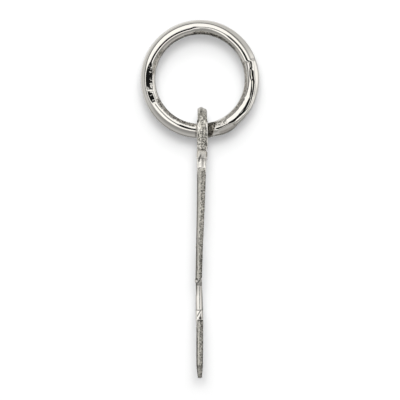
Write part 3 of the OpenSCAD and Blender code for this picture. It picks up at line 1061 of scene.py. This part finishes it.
# Each direction is also taken folded, as seen from the charm's left side, so that both sides of the
# charm have the same room round them
ray = room.nodes.new("ShaderNodeTexCoord").outputs["Generated"]
parts = room.nodes.new("ShaderNodeSeparateXYZ")
room.links.new(ray, parts.inputs[0])
fold = room.nodes.new("ShaderNodeCombineXYZ")
leftwards = number(room, "MULTIPLY", number(room, "ABSOLUTE", parts.outputs["X"]), -1)
room.links.new(leftwards, fold.inputs["X"])
room.links.new(parts.outputs["Y"], fold.inputs["Y"])
room.links.new(parts.outputs["Z"], fold.inputs["Z"])
folded = fold.outputs[0]

# The room, painted in this order.
# Columns: direction, axis, angles from the axis in degrees where it begins and is full, brightness
ROOM_PARTS = [
    (folded, TOWARDS_CAMERA, 86, 48, 0.28),
    (folded, LIGHT_SIDE, 100, 75, 0.56),
    (folded, PANEL_AXIS, 38, 12, 0.98),
    (ray, DARK_CORNER_AXIS, 16, 6, 0.40),
    (folded, SOFT_LIGHT_AXIS, 50, 46, 1.05),
    (folded, TOWARDS_CAMERA, 29, 21, 0.97),
]
level = ROOM_GREY
for direction, axis, start, full, brightness in ROOM_PARTS:
    level = blend(room, "FLOAT", rises(lean(direction, axis), start, full), level, brightness)
from_light = lean(folded, SOFT_LIGHT_AXIS)
rim = number(room, "SUBTRACT", rises(from_light, 58, 55), rises(from_light, 43, 40))
rim = number(room, "MULTIPLY", rim, rises(lean(ray, TOWARDS_CAMERA), 92, 80))
rim = number(room, "MULTIPLY", rim, rises(lean(folded, LIGHT_SIDE), 100, 75))
level = blend(room, "FLOAT", rim, level, RIM_GREY)
level = blend(room, "FLOAT", rises(lean(folded, TOWARDS_CAMERA), 14, 11), level, MIDDLE_DARK)
in_front = rises(lean(ray, TOWARDS_CAMERA), 130, 100)
level = number(room, "MULTIPLY", level, blend(room, "FLOAT", in_front, BEHIND, 1.0))
path = room.nodes.new("ShaderNodeLightPath")
level = blend(room, "FLOAT", path.outputs["Is Camera Ray"], level, 1.0)
shine = room.nodes.new("ShaderNodeBackground")
shine.inputs["Color"].default_value = (1, 1, 1, 1)
room.links.new(level, shine.inputs["Strength"])
room.links.new(shine.outputs["Background"], room.nodes.new("ShaderNodeOutputWorld").inputs["Surface"])

for lamp, power, radius, above in LAMPS:
    lamp_data = bpy.data.lights.new(lamp, "AREA")
    lamp_data.shape = "DISK"
    lamp_data.energy = power
    lamp_data.size = 2 * radius
    made = bpy.data.objects.new(lamp, lamp_data)
    made.location = (LAMP_X, 0, CAMERA_Z + above)
    made.rotation_euler = LOOKING_AT_EDGE
    made.visible_glossy = False
    bpy.context.scene.collection.objects.link(made)


def stage_material(name, white, glow, fade_start, fade_stop, front_only):
    """Plain white paint that fades away between two distances from the object's middle in its own plane."""
    material = bpy.data.materials.new(name)
    material.use_nodes = True
    tree = material.node_tree
    shader = tree.nodes["Principled BSDF"]
    shader.inputs["Base Color"].default_value = (white, white, white, 1)
    shader.inputs["Roughness"].default_value = 1.0
    shader.inputs["Specular IOR Level"].default_value = 0.0
    shader.inputs["Emission Color"].default_value = (1, 1, 1, 1)
    shader.inputs["Emission Strength"].default_value = glow
    read = tree.nodes.new("ShaderNodeAttribute")
    read.attribute_name = "distance"
    fade = tree.nodes.new("ShaderNodeMapRange")
    tree.links.new(read.outputs["Fac"], fade.inputs["Value"])
    fade.inputs["From Min"].default_value = fade_stop
    fade.inputs["From Max"].default_value = fade_start
    alpha = fade.outputs["Result"]
    if front_only:
        side = tree.nodes.new("ShaderNodeNewGeometry")
        alpha = number(tree, "MULTIPLY", alpha, number(tree, "SUBTRACT", 1.0, side.outputs["Backfacing"]))
    tree.links.new(alpha, shader.inputs["Alpha"])
    return material


def stage_disc(name, middle, side, up, radius, material):
    """Flat disc round its middle, spanned by two directions, as hoops of faces with each point's distance
    from the middle, and closed there by a fan."""
    turn = np.arange(DISC_SPOKES)[:, None] * 2 * math.pi / DISC_SPOKES
    away = np.linspace(1 / DISC_HOOPS, 1, DISC_HOOPS)[None, :] * radius
    sideways = np.multiply.outer(away * np.cos(turn), np.array(side, float))
    upwards = np.multiply.outer(away * np.sin(turn), np.array(up, float))
    points = (sideways + upwards + np.array(middle)).reshape(-1, 3)
    points = np.concatenate([points, [middle]]) / MM
    spoke = np.arange(DISC_SPOKES)
    next_spoke = (spoke + 1) % DISC_SPOKES
    hub = np.full(DISC_SPOKES, DISC_SPOKES * DISC_HOOPS)
    fan = np.column_stack([hub, next_spoke * DISC_HOOPS, spoke * DISC_HOOPS])
    hoops = band_faces(DISC_SPOKES, DISC_HOOPS, close_columns=False)
    distance = np.append(np.broadcast_to(away, (DISC_SPOKES, DISC_HOOPS)), 0.0)
    made = mesh_piece(name, points, hoops, fan, {"distance": distance})
    made.data.materials.append(material)
    made.visible_glossy = False


floor_paint = stage_material("floor_paint", 0.6, 0.4, FLOOR_FADE, FLOOR_R, front_only=False)
stage_disc("floor", (0, 0, FLOOR_Z), (0, 1, 0), (-1, 0, 0), FLOOR_R, floor_paint)
card_paint = stage_material("card_paint", 0.264, 0.0, CARD_FADE, CARD_HALF, front_only=True)
stage_disc("card", (CARD_X, 0, CAMERA_Z), (0, 1, 0), (0, 0, 1), CARD_HALF, card_paint)
